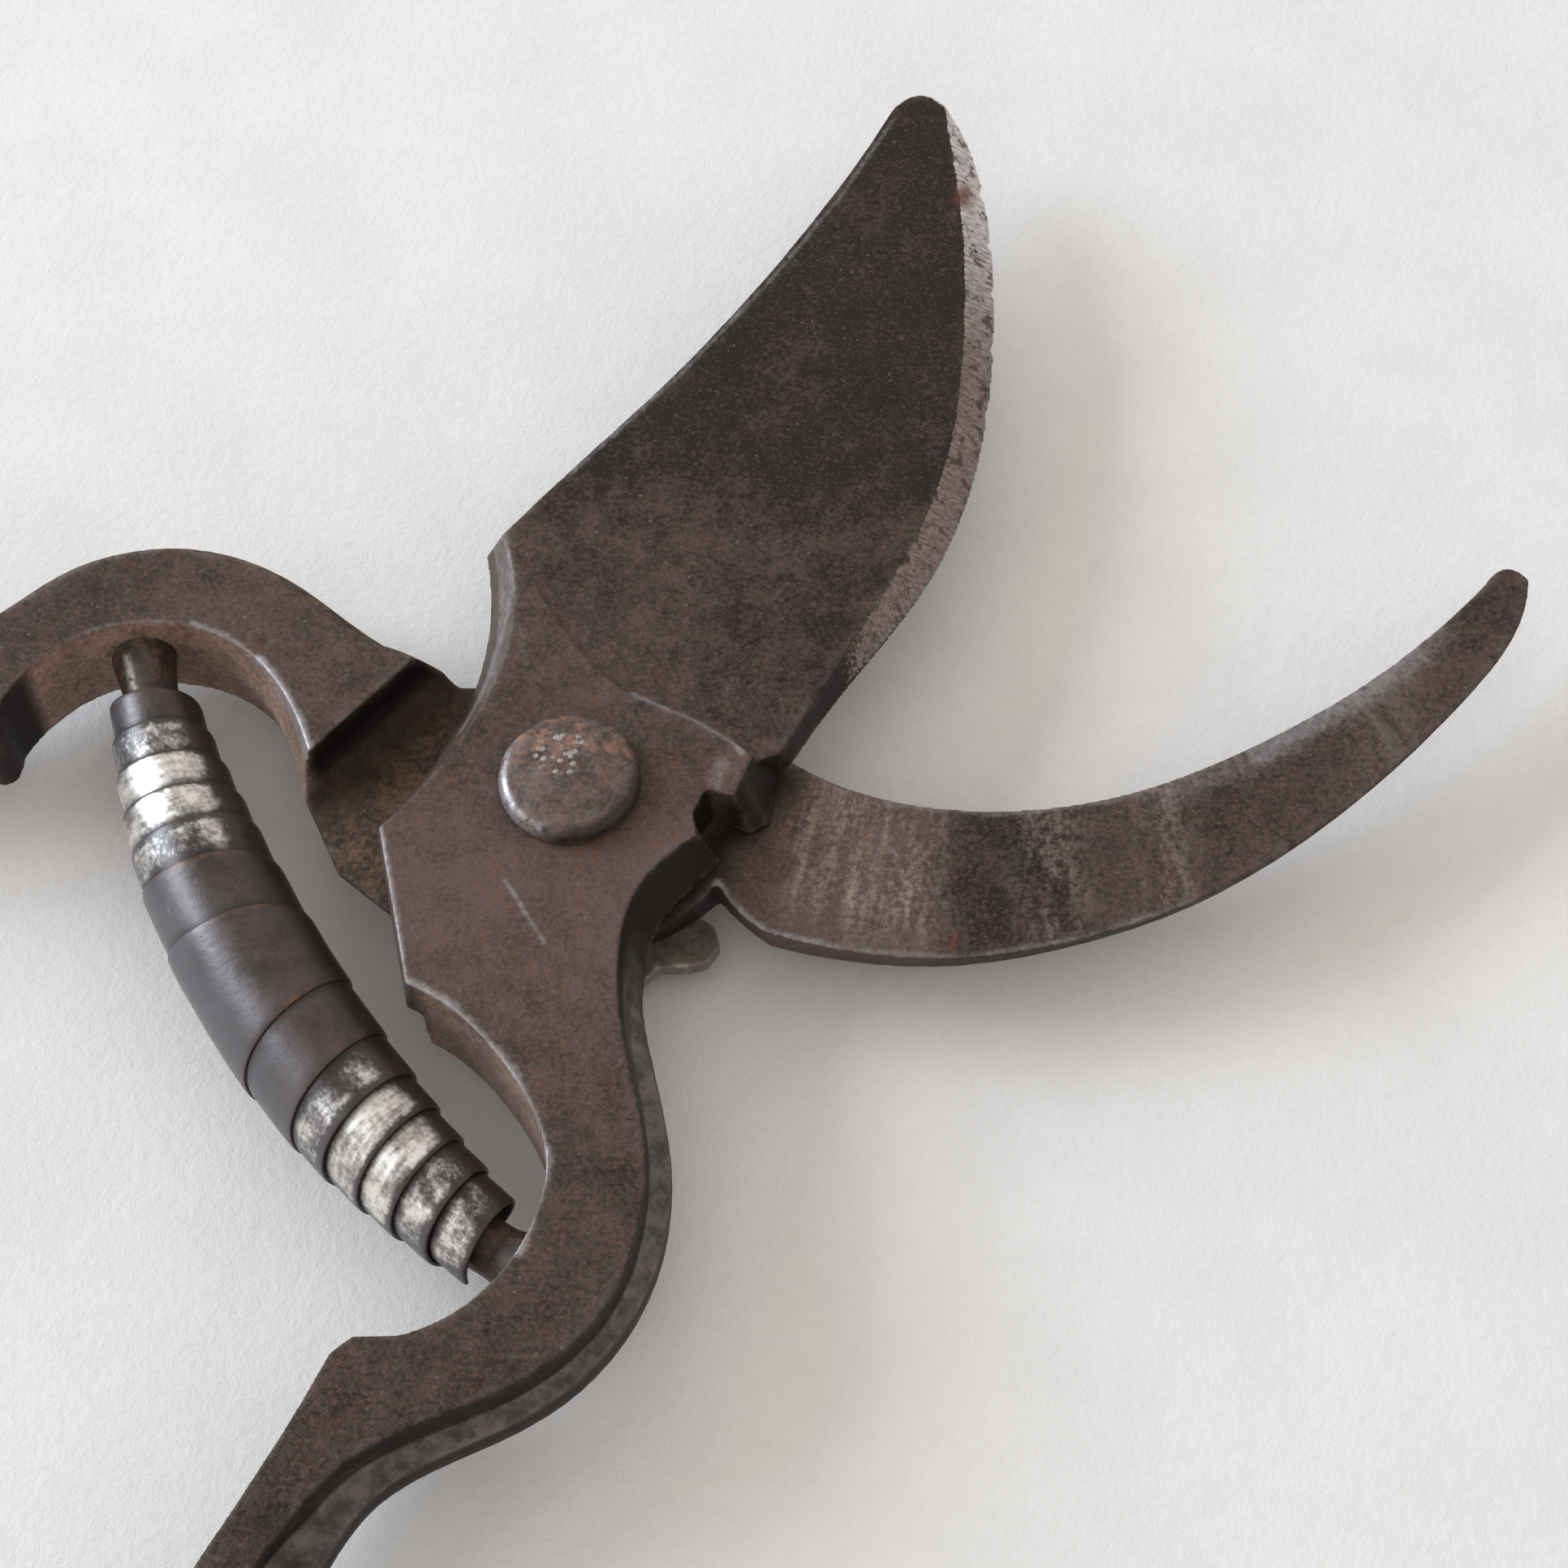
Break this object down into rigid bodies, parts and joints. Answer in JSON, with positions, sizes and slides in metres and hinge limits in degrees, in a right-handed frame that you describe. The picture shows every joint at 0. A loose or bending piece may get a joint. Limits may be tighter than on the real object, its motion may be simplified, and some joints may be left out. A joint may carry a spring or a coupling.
{
  "type": "pruning shears",
  "caption": "Forged steel bypass pruning shears, open, with a broad curved blade over a slender hook, a volute spring between bowed handles, a domed pivot bolt and a small safety catch.",
  "frame": {"origin": "on the pivot axis, in the lap plane where the two forgings slide on each other", "axes": "+Z along the pivot towards the bolt head, +X towards the hook, +Y towards the open blade; the handles point to -X and -Y"},
  "size_m": [0.2297, 0.2123, 0.0184],
  "materials": {
    "dark_forged_steel": "dark brown patina with bare worn edges",
    "worn_bolt_steel": "worn steel with brown spots",
    "spring_steel": "polished on the crests, dark between the turns",
    "dark_fastener_steel": "dark steel"
  },
  "bodies": {
    "hook_half": {"hook_and_handle": "dark_forged_steel", "pivot_bolt": "worn_bolt_steel", "pivot_nut": "dark_fastener_steel", "nut_keeper_plate": "dark_fastener_steel", "nut_keeper_screw": "dark_fastener_steel", "spring_peg_hook_side": "dark_forged_steel", "volute_spring": "spring_steel", "catch_screw": "dark_fastener_steel", "catch_washer": "dark_fastener_steel"},
    "blade_half": {"blade_and_handle": "dark_forged_steel", "spring_peg_blade_side": "dark_forged_steel"},
    "catch": {"catch_lever": "dark_fastener_steel"}
  },
  "joints": [
    {"name": "blade_pivot", "type": "hinge", "parent": "hook_half", "child": "blade_half", "pos_m": [0, 0, 0], "axis": [0, 0, -1], "range_deg": [0, 54], "stiffness_Nm_per_rad": 1.6, "deforming": ["volute_spring"]},
    {"name": "catch_pivot", "type": "hinge", "parent": "hook_half", "child": "catch", "pos_m": [0.0034, -0.0096, -0.0066], "axis": [0, 0, -1], "range_deg": [0, 18]}
  ]
}
